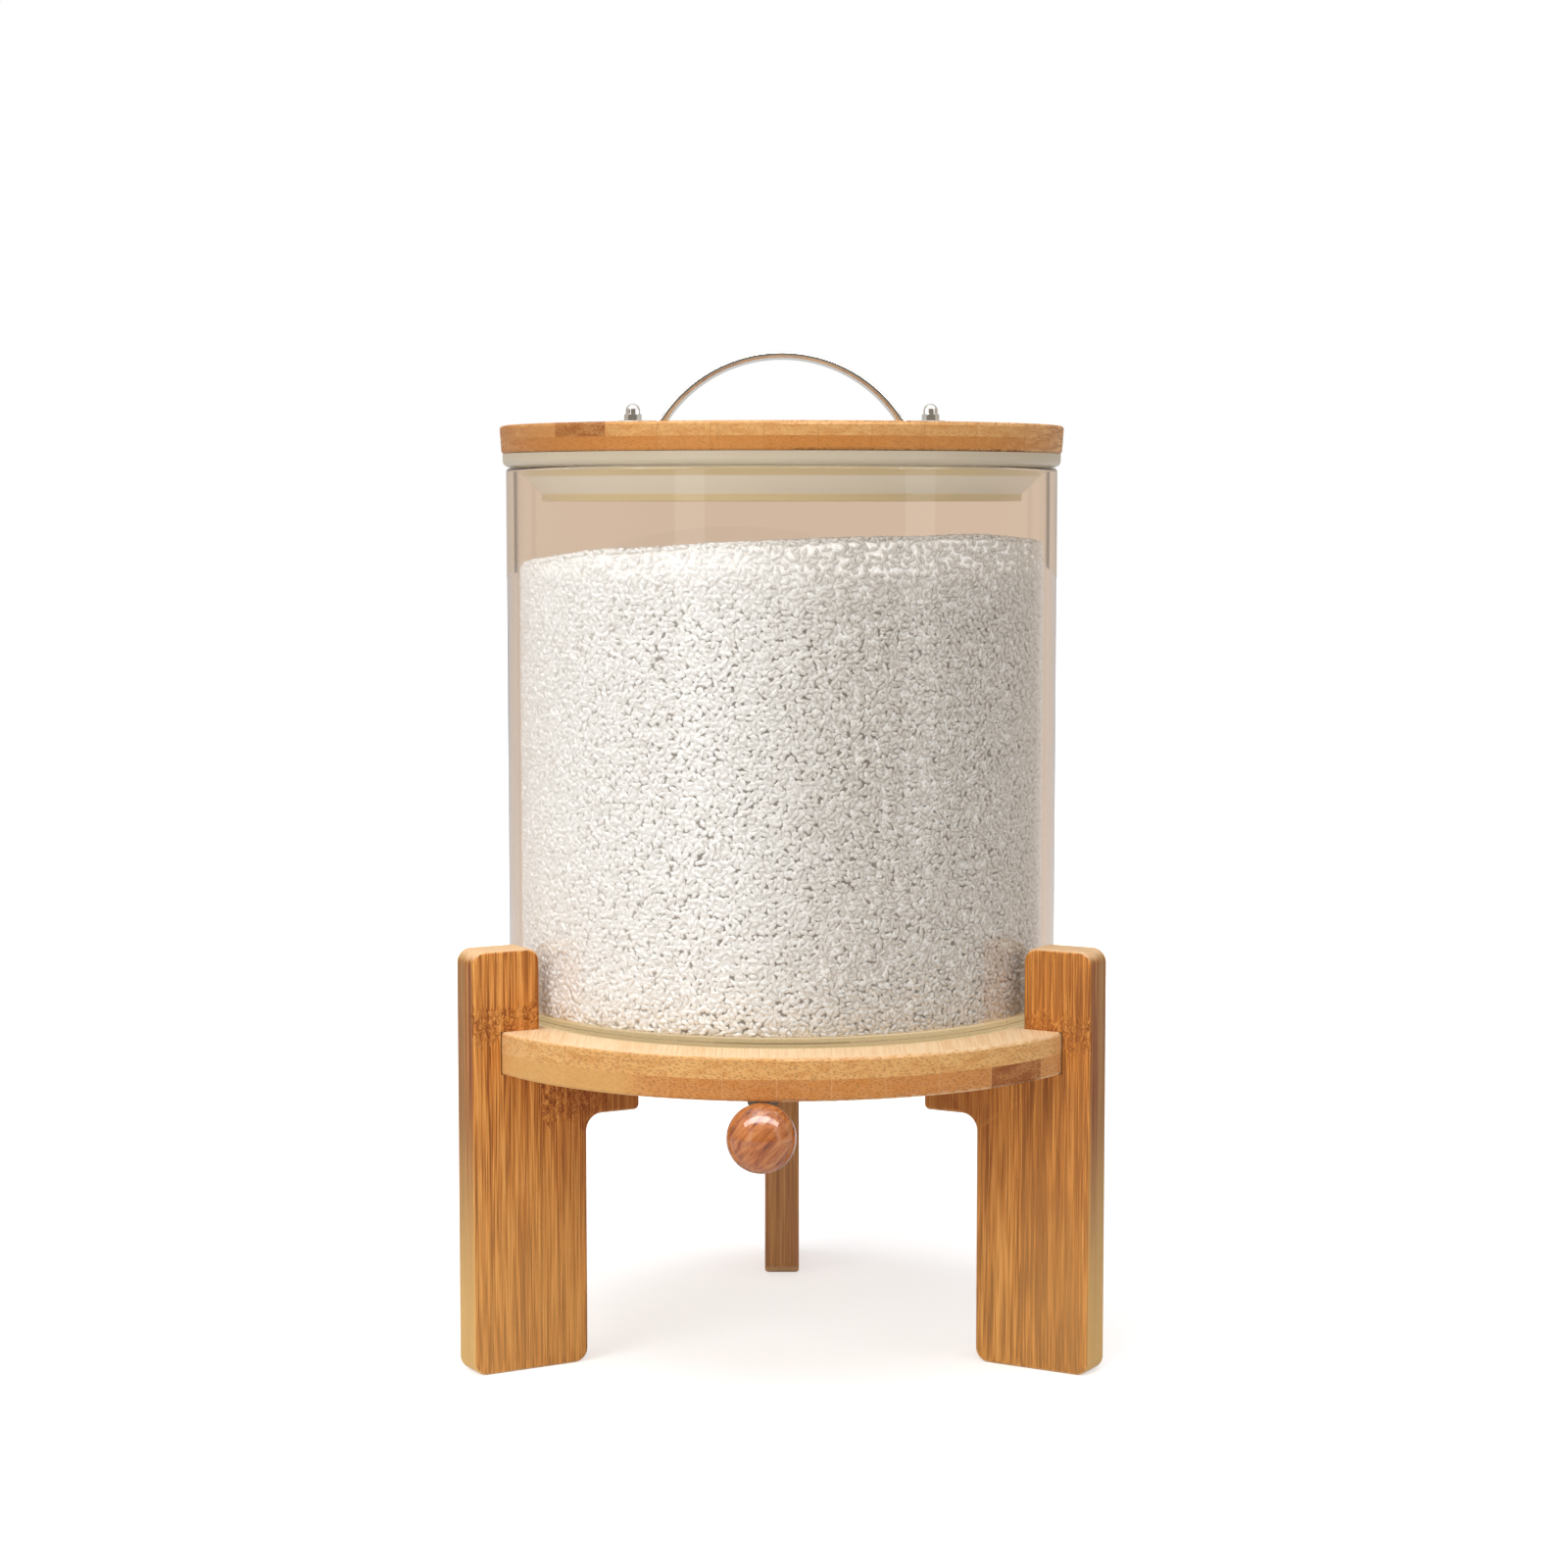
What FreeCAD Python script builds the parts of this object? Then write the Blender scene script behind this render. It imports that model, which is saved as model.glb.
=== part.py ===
# Glass grain dispenser: a glass jar on a round bamboo plate with three board legs,
# a bamboo lid with a stopper and a strap handle, and a slide gate under the plate
# that a wooden ball pulls open. Millimetres, +Z up, the front faces -Y, and the
# origin is on the table under the jar's centre line.
import FreeCAD
import Part
import math
import os
from FreeCAD import Vector as V

# Jar and grain
jar_radius = 100.0
jar_height = 197.0
jar_wall = 4.0
jar_floor = 6.0
jar_foot_round = 8.0
jar_floor_round = 6.0
jar_rim_round = 1.5
rice_depth = 166.0
rice_crown = 9.0
rice_gap = 0.3

# Plate under the jar
plate_underside = 106.5
plate_thickness = 15.0
plate_beyond_jar = 17.0
board_edge_round = 1.2

# Legs: boards on edge, each notched for the plate's edge
leg_thickness = 13.5
leg_width = 44.3
leg_beyond_plate = 11.0
leg_above_plate = 28.9
leg_to_jar = 2.1
leg_corner_round = 5.0
leg_arris_round = 1.2
arm_length = 21.0
arm_depth = 17.3
arm_fillet = 6.0
arm_end_round = 2.0
notch_gap = 0.3
leg_names = ["leg_back", "leg_front_left", "leg_front_right"]

# Screws and inserts that hold the legs to the plate
leg_screw_radius = 2.5
leg_screw_head_radius = 4.25
leg_screw_head_height = 3.5
leg_screw_head_gap = 0.6
leg_screw_recess = 0.5
leg_screw_socket = 4.0
leg_insert_wall = 1.45
leg_insert_length = 10.5

# Outlet through the jar's floor and the plate
passage_radius = 21.0
bush_wall = 4.0
bush_hole_gap = 1.0
bush_end_gap = 1.0
bush_flange_width = 7.0
bush_flange_thickness = 3.0
bush_funnel = 2.0
bush_edge_round = 1.0
gasket_thickness = 1.5
nut_wall = 9.0
nut_thickness = 6.0
nut_pocket_gap = 2.0
nut_notch_count = 6
nut_notch_radius = 2.0

# Valve under the plate
valve_half_width = 40.0
valve_front = 46.0
valve_back = 36.0
valve_corner_round = 8.0
valve_ceiling = 3.2
valve_floor = 4.0
spout_wall = 3.5
spout_length = 7.2
spout_edge_round = 1.0
gate_thickness = 1.5
gate_half_width = 28.0
gate_overlap = 6.0
gate_ear_width = 3.0
gate_ear_length = 6.0
gate_corner_round = 2.0
lip_half_width = 22.0
lip_gap = 0.8
lip_height = 8.8
lip_corner_round = 3.0
lip_bend = 0.8
lip_tab_half_width = 5.5
lip_tab_margin = 2.0
slide_gap = 0.3
seal_inset = 1.0
seal_width = 3.5
seal_height = 2.0
seal_clearance = 0.2
valve_screw_radius = 2.0
valve_screw_head_radius = 3.6
valve_screw_length = 20.0
valve_screw_from_side = 4.6
valve_screw_from_end = 8.0

# Pull rod and ball
rod_radius = 2.5
rod_thread_radius = 2.0
rod_offset = -6.7
rod_drop = 10.5
rod_chamfer = 0.4
rod_nut_flats = 7.0
rod_nut_thickness = 3.2
rod_nut_room = 1.0
knob_radius = 11.7
knob_beyond_plate = 8.7
knob_flat_radius = 4.0
knob_insert_wall = 1.4
knob_insert_length = 10.0

# Lid and its stopper
lid_beyond_jar = 2.3
lid_thickness = 10.0
lid_taper = 0.7
rim_gap = 0.3
seal_flange_beyond_jar = 1.2
seal_flange_thickness = 4.7
seal_flange_round = 2.2
stopper_wall = 2.7
stopper_side = 1.6
stopper_cone_height = 8.0
stopper_cone_width = 8.5
stopper_band = 2.7
stopper_edge_round = 0.6
inner_flange_width = 14.0
inner_flange_thickness = 2.5
retainer_inset = 1.0
retainer_width = 12.0
retainer_thickness = 2.5
retainer_screw_count = 6
retainer_screw_radius = 1.5
retainer_screw_length = 10.0
retainer_head_radius = 2.8
retainer_head_height = 1.7

# Strap handle
handle_rise = 26.6
handle_radius = 51.0
handle_thickness = 2.0
handle_width = 24.0
handle_bend = 4.0
handle_screw_x = 54.1
handle_foot_margin = 5.4
handle_corner_round = 5.0
handle_screw_radius = 1.5
handle_head_radius = 3.0
handle_head_height = 2.0
washer_radius = 4.5
washer_thickness = 0.8
cap_nut_flats = 5.5
cap_nut_height = 6.3
cap_nut_hex_height = 2.6
cap_nut_bevel = 0.4
cap_nut_dome_radius = 2.6
cap_nut_thread_depth = 4.8

# Clearances that every screw and threaded hole shares
screw_hole_gap = 0.2
thread_gap = 0.05
screw_end_gap = 1.0

# Directions about Z, in degrees from +X
leg_back_angle = 90
retainer_screw_angle = 30

# Levels and radii that follow from the sizes
plate_top = plate_underside + plate_thickness
plate_radius = jar_radius + plate_beyond_jar
jar_inside = jar_radius - jar_wall
floor_top = plate_top + jar_floor
rim = plate_top + jar_height
bush_radius = passage_radius + bush_wall
bush_hole = bush_radius + bush_hole_gap
bush_bottom = plate_underside + bush_end_gap
flange_radius = bush_hole + bush_flange_width
gasket_top = floor_top + gasket_thickness
flange_top = gasket_top + bush_flange_thickness
nut_radius = bush_radius + nut_wall
pocket_ceiling = bush_bottom + nut_thickness

leg_outer = plate_radius + leg_beyond_plate
leg_inner = leg_outer - leg_width
leg_top = plate_top + leg_above_plate
arm_inner = leg_inner - arm_length
arm_underside = plate_underside - arm_depth
leg_screw_distance = leg_inner - arm_length / 2
leg_screw_seat = arm_underside + leg_screw_recess + leg_screw_head_height
leg_insert_radius = leg_screw_radius + thread_gap + leg_insert_wall
leg_insert_top = plate_underside + leg_insert_length

channel_top = plate_underside - valve_ceiling
gate_top = channel_top - slide_gap
gate_bottom = gate_top - gate_thickness
body_underside = gate_bottom - slide_gap
cover_underside = body_underside - valve_floor
spout_end = cover_underside - spout_length
gate_travel = 2 * passage_radius + gate_overlap
gate_back = passage_radius + gate_overlap
lip_back = -valve_front - lip_gap
lip_front = lip_back - gate_thickness
seal_bottom = gate_top + seal_clearance
valve_screw_x = valve_half_width - valve_screw_from_side

rod_height = plate_underside - rod_drop
knob_centre = -plate_radius - knob_beyond_plate
knob_back = knob_centre + math.sqrt(knob_radius**2 - knob_flat_radius**2)
knob_insert_radius = rod_thread_radius + thread_gap + knob_insert_wall
knob_insert_front = knob_back - knob_insert_length

lid_radius = jar_radius + lid_beyond_jar
flange_underside = rim + rim_gap
lid_underside = flange_underside + seal_flange_thickness
lid_top = lid_underside + lid_thickness
stopper_radius = jar_inside - rim_gap
stopper_inside = stopper_radius - stopper_wall
retainer_top = lid_underside - inner_flange_thickness
retainer_underside = retainer_top - retainer_thickness
retainer_radius = stopper_inside - retainer_inset
retainer_screw_distance = retainer_radius - retainer_width / 2
strap_top = lid_top + handle_thickness


def around(distance, count, first):
    """Points evenly spaced on a circle about Z, from the angle first in degrees."""
    turns = [math.radians(first + 360 * i / count) for i in range(count)]
    return [V(distance * math.cos(turn), distance * math.sin(turn), 0) for turn in turns]


leg_screw_places = around(leg_screw_distance, len(leg_names), leg_back_angle)
retainer_screw_places = around(retainer_screw_distance, retainer_screw_count,
                                retainer_screw_angle)
handle_screw_places = [V(-handle_screw_x, 0, 0), V(handle_screw_x, 0, 0)]
valve_screw_places = [
    V(x, y, 0)
    for x in (-valve_screw_x, valve_screw_x)
    for y in (-valve_front + valve_screw_from_end, valve_back - valve_screw_from_end)
]


def in_xy(p):
    """A point of a drawing, laid in the XY plane."""
    return V(p.x, p.y, 0)


def in_xz(p):
    """A point of a drawing, stood in the XZ plane."""
    return V(p.x, 0, p.y)


def in_yz(p):
    """A point of a drawing, stood in the YZ plane."""
    return V(0, p.x, p.y)


def outline(corners, placed):
    """A face inside the corners (a, b, radius), each rounded by its radius."""
    stretches = []
    for i, (a, b, radius) in enumerate(corners):
        here = V(a, b, 0)
        before = V(*corners[i - 1][:2], 0) - here
        after = V(*corners[(i + 1) % len(corners)][:2], 0) - here
        if radius == 0:
            stretches.append([here])
            continue
        before.normalize()
        after.normalize()
        inward = before + after
        inward.normalize()
        half = before.getAngle(after) / 2
        reach = radius / math.tan(half)
        middle = here + inward * (radius / math.sin(half) - radius)
        stretches.append([here + before * reach, middle, here + after * reach])
    edges = []
    for i, stretch in enumerate(stretches):
        if len(stretch) == 3:
            edges.append(Part.Arc(*[placed(p) for p in stretch]).toShape())
        start = stretch[-1]
        end = stretches[(i + 1) % len(stretches)][0]
        edges.append(Part.LineSegment(placed(start), placed(end)).toShape())
    return Part.Face(Part.Wire(edges))


def turned(corners):
    """A solid of revolution about Z from corners (distance from Z, height, rounding)."""
    return outline(corners, in_xz).revolve(V(), V(0, 0, 1), 360)


def ring(inner, outer, low, high):
    """A plain ring about Z."""
    return turned([(inner, low, 0), (outer, low, 0), (outer, high, 0), (inner, high, 0)])


def rod(radius, low, high):
    """A plain cylinder about Z."""
    return Part.makeCylinder(radius, high - low, V(0, 0, low))


def block(x_span, y_span, z_span):
    """A box between two values on each axis."""
    lows, highs = zip(x_span, y_span, z_span)
    return Part.makeBox(*[high - low for low, high in zip(lows, highs)], V(*lows))


def slab(x_half, y_span, z_span, corner_round):
    """A flat slab, as wide on both sides of X, with its upright edges rounded."""
    near, far = y_span
    corners = [(-x_half, near), (x_half, near), (x_half, far), (-x_half, far)]
    plan = outline([(x, y, corner_round) for x, y in corners], in_xy)
    plan.translate(V(0, 0, z_span[0]))
    return plan.extrude(V(0, 0, z_span[1] - z_span[0]))


def hexagon(flats, low, high):
    """A hexagonal prism about Z, with a flat on the +Y and the -Y side."""
    points = around(flats / math.sqrt(3), 6, 0)
    prism = Part.Face(Part.makePolygon(points + points[:1])).extrude(V(0, 0, high - low))
    return prism.translated(V(0, 0, low))


def at_places(shape, places):
    """A group of separate copies of shape, one at each place."""
    return Part.makeCompound([shape.translated(place) for place in places])


def drilled(shape, radius, z_span, places):
    """shape with an upright hole at each place."""
    return shape.cut(at_places(rod(radius, *z_span), places))


def rounded_where(shape, radius, wanted):
    """shape with each edge rounded for which wanted(edge) holds."""
    return shape.makeFillet(radius, [edge for edge in shape.Edges if wanted(edge)])


def pan_screw(radius, head_radius, head_height, seat, length):
    """A screw pointing up, with a domed head below its seat and a cross recess in it."""
    head = turned([
        (0, seat - head_height, 0),
        (head_radius, seat - head_height, head_height / 2),
        (head_radius, seat, 0),
        (0, seat, 0),
    ])
    screw = head.fuse(rod(radius, seat, seat + length))
    return screw.cut(cross_recess(head_radius, seat - head_height))


def cross_recess(head_radius, low):
    """The cross that a screwdriver goes into, as wide as half the head, from the level low up."""
    reach = (-head_radius / 2, head_radius / 2)
    arm = (-head_radius / 10, head_radius / 10)
    heights = (low, low + head_radius / 3)
    return block(reach, arm, heights).fuse(block(arm, reach, heights))


def along_rod(shape):
    """A shape made about Z, laid on the rod's axis with its +Z to the front."""
    shape = shape.rotated(V(), V(1, 0, 0), 90)
    return shape.translated(V(rod_offset, 0, rod_height))


def glass_jar():
    """A glass cylinder with a rounded foot, an open mouth and a hole in its floor."""
    return turned([
        (bush_hole, plate_top, 0),
        (jar_radius, plate_top, jar_foot_round),
        (jar_radius, rim, jar_rim_round),
        (jar_inside, rim, jar_rim_round),
        (jar_inside, floor_top, jar_floor_round),
        (bush_hole, floor_top, 0),
    ])


def rice_fill():
    """The grain as one solid: it lies round and over the bush, and its top is a low crown."""
    side = jar_inside - rice_gap
    base = floor_top + rice_gap
    over_bush = flange_top + rice_gap
    beside_bush = flange_radius + rice_gap
    top = floor_top + rice_depth
    filling = turned([
        (0, over_bush, 0),
        (beside_bush, over_bush, 0),
        (beside_bush, base, 0),
        (side, base, jar_floor_round),
        (side, top, 0),
        (0, top, 0),
    ])
    crown_radius = (side**2 + rice_crown**2) / (2 * rice_crown)
    crown = Part.makeSphere(crown_radius, V(0, 0, top - crown_radius))
    return filling.common(crown)


def outlet_bush():
    """A tube through floor and plate, with a flange that presses on the floor from inside."""
    return turned([
        (passage_radius, bush_bottom, 0),
        (bush_radius, bush_bottom, 0),
        (bush_radius, gasket_top, 0),
        (flange_radius, gasket_top, 0),
        (flange_radius, flange_top, bush_edge_round),
        (passage_radius + bush_funnel, flange_top, 0),
        (passage_radius, flange_top - bush_funnel, 0),
    ])


def bush_gasket():
    """The soft ring between the bush's flange and the glass floor."""
    return ring(bush_hole, flange_radius, floor_top, gasket_top)


def bush_nut():
    """A ring nut, notched round its lower face for a pin spanner."""
    nut = ring(bush_radius + thread_gap, nut_radius, bush_bottom, pocket_ceiling)
    notches = around(nut_radius, nut_notch_count, 0)
    return drilled(nut, nut_notch_radius, (bush_bottom, bush_bottom + nut_thickness / 2), notches)


def base_plate():
    """The round plate, with a hole and nut pocket in its middle and blind holes from below."""
    plate = turned([
        (bush_hole, plate_underside, 0),
        (plate_radius, plate_underside, board_edge_round),
        (plate_radius, plate_top, board_edge_round),
        (bush_hole, plate_top, 0),
    ])
    plate = plate.cut(rod(nut_radius + nut_pocket_gap, plate_underside, pocket_ceiling))
    pilot_end = cover_underside + valve_screw_length + screw_end_gap
    plate = drilled(plate, valve_screw_radius + thread_gap, (plate_underside, pilot_end), valve_screw_places)
    insert_span = (plate_underside, leg_insert_top + thread_gap)
    return drilled(plate, leg_insert_radius + thread_gap, insert_span, leg_screw_places)


def leg(angle):
    """A board on edge: foot, upper end beside the jar, notch for the plate, arm under it."""
    notch = plate_radius + notch_gap
    side_view = outline([
        (leg_inner, 0, leg_corner_round),
        (leg_outer, 0, leg_corner_round),
        (leg_outer, leg_top, leg_corner_round),
        (jar_radius + leg_to_jar, leg_top, leg_corner_round),
        (jar_radius + leg_to_jar, plate_top, 0),
        (notch, plate_top, 0),
        (notch, plate_underside, 0),
        (arm_inner, plate_underside, 0),
        (arm_inner, arm_underside, arm_end_round),
        (leg_inner, arm_underside, arm_fillet),
    ], in_xz)
    board = side_view.extrude(V(0, leg_thickness, 0)).translated(V(0, -leg_thickness / 2, 0))

    def round_me(edge):
        """The long edges of both broad faces, but not those where the plate sits."""
        box = edge.BoundBox
        at_plate = plate_underside - 0.01 < box.ZMin and box.ZMax < plate_top + 0.01
        return box.YLength < 0.01 and not (at_plate and box.XMax < notch + 0.01)

    board = rounded_where(board, leg_arris_round, round_me)
    middle = [V(leg_screw_distance, 0, 0)]
    board = drilled(board, leg_screw_radius + screw_hole_gap, (leg_screw_seat, plate_underside), middle)
    head_hole = leg_screw_head_radius + leg_screw_head_gap
    board = drilled(board, head_hole, (arm_underside, leg_screw_seat), middle)
    return board.rotated(V(), V(0, 0, 1), angle)


def leg_screws():
    """Three socket screws, up through the arms into the inserts."""
    head_low = leg_screw_seat - leg_screw_head_height
    screw = rod(leg_screw_head_radius, head_low, leg_screw_seat)
    screw = screw.fuse(rod(leg_screw_radius, leg_screw_seat, leg_insert_top - screw_end_gap))
    screw = screw.cut(hexagon(leg_screw_socket, head_low, head_low + leg_screw_head_height / 2))
    return at_places(screw, leg_screw_places)


def leg_inserts():
    """Three threaded sleeves in the plate's underside."""
    sleeve = ring(leg_screw_radius + thread_gap, leg_insert_radius, plate_underside, leg_insert_top)
    return at_places(sleeve, leg_screw_places)


def valve_body():
    """The upper half of the gate's guide, with a channel that is wider where the ears run."""
    body = slab(valve_half_width, (-valve_front, valve_back), (body_underside, plate_underside),
                valve_corner_round)
    narrow = gate_half_width + slide_gap
    wide = narrow + gate_ear_width
    channel_back = gate_back + slide_gap
    ear_stop = gate_back - gate_ear_length - gate_travel - slide_gap
    heights = (body_underside, channel_top)
    body = body.cut(block((-narrow, narrow), (-valve_front, channel_back), heights))
    body = body.cut(block((-wide, wide), (ear_stop, channel_back), heights))
    body = body.cut(rod(passage_radius, channel_top, plate_underside))
    groove = passage_radius + seal_inset
    body = body.cut(ring(groove, groove + seal_width, channel_top, seal_bottom + seal_height))
    return drilled(body, valve_screw_radius + screw_hole_gap, (body_underside, plate_underside),
                   valve_screw_places)


def gate_seal():
    """The soft ring in the body's groove, just above the gate."""
    inner = passage_radius + seal_inset
    return ring(inner, inner + seal_width, seal_bottom, seal_bottom + seal_height)


def valve_cover():
    """The plate that closes the channel from below, with the spout and a slot for the rod's nut."""
    cover = slab(valve_half_width, (-valve_front, valve_back), (cover_underside, body_underside),
                 valve_corner_round)
    spout = turned([
        (0, spout_end, 0),
        (passage_radius + spout_wall, spout_end, spout_edge_round),
        (passage_radius + spout_wall, cover_underside, 0),
        (0, cover_underside, 0),
    ])
    cover = cover.fuse(spout).cut(rod(passage_radius, spout_end, body_underside))
    nut_reach = rod_nut_flats / math.sqrt(3) + rod_nut_room
    slot = (rod_offset - nut_reach, rod_offset + nut_reach)
    slot_end = lip_back + rod_nut_thickness + rod_nut_room
    cover = cover.cut(block(slot, (-valve_front, slot_end), (cover_underside, body_underside)))
    cover = drilled(cover, valve_screw_radius + screw_hole_gap, (cover_underside, body_underside),
                    valve_screw_places)
    return cover.cut(at_places(screw_cone(screw_hole_gap), valve_screw_places))


def screw_cone(gap):
    """The cone of a valve screw's head, wider by a gap."""
    wide = valve_screw_head_radius + gap
    narrow = valve_screw_radius + gap
    return Part.makeCone(wide, narrow, wide - narrow, V(0, 0, cover_underside))


def valve_screws():
    """Four countersunk screws through cover and body into the plate."""
    screw = rod(valve_screw_radius, cover_underside, cover_underside + valve_screw_length)
    screw = screw.fuse(screw_cone(0)).removeSplitter()
    screw = screw.cut(cross_recess(valve_screw_head_radius, cover_underside))
    return at_places(screw, valve_screw_places)


def slide_gate():
    """A sheet with two stop ears, its narrowed front end folded down to a lip with a tab."""
    lip_end = gate_top - lip_height
    folded = outline([
        (0, gate_bottom, 0),
        (0, gate_top, 0),
        (lip_front, gate_top, lip_bend + gate_thickness),
        (lip_front, lip_end, 0),
        (lip_back, lip_end, 0),
        (lip_back, gate_bottom, lip_bend),
    ], in_yz)
    lip = folded.extrude(V(2 * lip_half_width, 0, 0)).translated(V(-lip_half_width, 0, 0))
    lip = rounded_where(lip, lip_corner_round, lambda edge: edge.BoundBox.ZMax < lip_end + 0.01
                        and edge.BoundBox.XLength < 0.01)
    sheet = slab(gate_half_width, (-valve_front, gate_back), (gate_bottom, gate_top), gate_corner_round)
    ear_half = gate_half_width + gate_ear_width
    ears = block((-ear_half, ear_half), (gate_back - gate_ear_length, gate_back), (gate_bottom, gate_top))
    tab_low = rod_height - rod_thread_radius - lip_tab_margin
    tab = block((rod_offset - lip_tab_half_width, rod_offset + lip_tab_half_width),
                (lip_front, lip_back), (tab_low, rod_height))
    tab = rounded_where(tab, lip_tab_margin, lambda edge: edge.BoundBox.ZMax < tab_low + 0.01
                        and edge.BoundBox.XLength < 0.01)
    gate = lip.fuse([sheet, ears, tab]).removeSplitter()
    hole = along_rod(rod(rod_thread_radius + thread_gap, -lip_back, -lip_front))
    return gate.cut(hole)


def pull_rod():
    """A rod with a thinner threaded end for the gate's lip and another for the ball."""
    nut_end = -lip_back - rod_nut_thickness - rod_nut_room / 2
    knob_end = -knob_insert_front - screw_end_gap
    tip = rod_thread_radius - rod_chamfer
    return along_rod(turned([
        (0, nut_end, 0),
        (tip, nut_end, 0),
        (rod_thread_radius, nut_end + rod_chamfer, 0),
        (rod_thread_radius, -lip_front, 0),
        (rod_radius, -lip_front, 0),
        (rod_radius, -knob_back, 0),
        (rod_thread_radius, -knob_back, 0),
        (rod_thread_radius, knob_end - rod_chamfer, 0),
        (tip, knob_end, 0),
        (0, knob_end, 0),
    ]))


def rod_nut():
    """A hexagon nut behind the lip, with a flat towards the sheet above it."""
    nut = hexagon(rod_nut_flats, -lip_back - rod_nut_thickness, -lip_back)
    bore = rod(rod_thread_radius + thread_gap, -lip_back - rod_nut_thickness, -lip_back)
    return along_rod(nut.cut(bore))


def ball_knob():
    """A ball with a small flat at its back and a blind hole for the insert."""
    ball = Part.makeSphere(knob_radius, V(0, 0, -knob_centre))
    behind_flat = rod(knob_radius, -knob_back - knob_radius, -knob_back)
    hole = rod(knob_insert_radius + thread_gap, -knob_back, -knob_insert_front + thread_gap)
    return along_rod(ball.cut(behind_flat).cut(hole))


def knob_insert():
    """The threaded sleeve in the ball."""
    sleeve = ring(rod_thread_radius + thread_gap, knob_insert_radius, -knob_back, -knob_insert_front)
    return along_rod(sleeve)


def lid_board():
    """The round board, with holes for the handle's screws and pilot holes for the ring's."""
    lid = turned([
        (0, lid_underside, 0),
        (lid_radius - lid_taper, lid_underside, board_edge_round),
        (lid_radius, lid_top, board_edge_round),
        (0, lid_top, 0),
    ])
    lid = drilled(lid, handle_screw_radius + screw_hole_gap, (lid_underside, lid_top), handle_screw_places)
    pilot_end = retainer_underside + retainer_screw_length + screw_end_gap
    return drilled(lid, retainer_screw_radius + thread_gap, (lid_underside, pilot_end),
                   retainer_screw_places)


def lid_seal():
    """The stopper: a flange on the rim, a cone in the mouth, and a flange inwards under the lid."""
    side_end = flange_underside - stopper_side
    cone_end = side_end - stopper_cone_height
    band_end = cone_end - stopper_band
    slope = stopper_cone_height / stopper_cone_width
    narrow = stopper_radius - stopper_cone_width
    narrow_inside = narrow - stopper_wall
    inside_turn = cone_end + stopper_wall / 3
    cone_inside_top = inside_turn + (stopper_inside - narrow_inside) * slope
    inner_edge = stopper_inside - inner_flange_width
    stopper = turned([
        (inner_edge, lid_underside, 0),
        (jar_radius + seal_flange_beyond_jar, lid_underside, 0),
        (jar_radius + seal_flange_beyond_jar, flange_underside, seal_flange_round),
        (stopper_radius, flange_underside, 0),
        (stopper_radius, side_end, stopper_edge_round),
        (narrow, cone_end, stopper_edge_round),
        (narrow, band_end, stopper_edge_round),
        (narrow_inside, band_end, stopper_edge_round),
        (narrow_inside, inside_turn, stopper_edge_round),
        (stopper_inside, cone_inside_top, stopper_edge_round),
        (stopper_inside, retainer_top, 0),
        (inner_edge, retainer_top, 0),
    ])
    return drilled(stopper, retainer_screw_radius + screw_hole_gap, (retainer_top, lid_underside),
                   retainer_screw_places)


def seal_retainer():
    """The flat ring that clamps the stopper's inner flange to the lid."""
    clamp = ring(retainer_radius - retainer_width, retainer_radius, retainer_underside, retainer_top)
    return drilled(clamp, retainer_screw_radius + screw_hole_gap, (retainer_underside, retainer_top),
                   retainer_screw_places)


def retainer_screws():
    """Six small screws up through the ring and the stopper's flange into the lid."""
    screw = pan_screw(retainer_screw_radius, retainer_head_radius, retainer_head_height,
                      retainer_underside, retainer_screw_length)
    return at_places(screw, retainer_screw_places)


def lid_handle():
    """A strap of two flat feet, a bend at each and one arc between them."""
    half = handle_thickness / 2
    foot = lid_top + half
    arc_centre = lid_top + handle_rise - half - handle_radius
    bend_centre = foot + handle_bend
    bend_x = math.sqrt((handle_radius + handle_bend) ** 2 - (bend_centre - arc_centre) ** 2)
    bend_turn = math.atan2(bend_x, bend_centre - arc_centre)
    end_x = handle_screw_x + handle_foot_margin

    def bend_point(side, radius, turn):
        """A point of a bend, turned from straight below the bend's centre towards the arc."""
        return V(side * (bend_x - radius * math.sin(turn)), 0, bend_centre - radius * math.cos(turn))

    def strap_face(offset):
        """One face of the strap, at an offset from its middle, from foot to foot."""
        turns = (0, bend_turn / 2, bend_turn)
        left = [bend_point(-1, handle_bend - offset, turn) for turn in turns]
        right = [bend_point(1, handle_bend - offset, turn) for turn in turns]
        apex = V(0, 0, arc_centre + handle_radius + offset)
        curves = [
            Part.LineSegment(V(-end_x, 0, foot + offset), left[0]),
            Part.Arc(*left),
            Part.Arc(left[-1], apex, right[-1]),
            Part.Arc(*right),
            Part.LineSegment(right[0], V(end_x, 0, foot + offset)),
        ]
        return [curve.toShape() for curve in curves]

    ends = [Part.LineSegment(V(x, 0, lid_top), V(x, 0, strap_top)).toShape() for x in (-end_x, end_x)]
    edges = Part.sortEdges(strap_face(half) + strap_face(-half) + ends)[0]
    side_view = Part.Face(Part.Wire(edges))
    strap = side_view.extrude(V(0, handle_width, 0)).translated(V(0, -handle_width / 2, 0))
    plan = slab(end_x, (-handle_width / 2, handle_width / 2), (lid_top, lid_top + handle_rise),
                handle_corner_round)
    return drilled(strap.common(plan), handle_screw_radius + screw_hole_gap, (lid_top, strap_top),
                   handle_screw_places)


def handle_screws():
    """Two screws up through washers, lid and strap into the cap nuts."""
    seat = lid_underside - washer_thickness
    thread_end = strap_top + cap_nut_thread_depth - screw_end_gap
    screw = pan_screw(handle_screw_radius, handle_head_radius, handle_head_height, seat, thread_end - seat)
    return at_places(screw, handle_screw_places)


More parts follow.
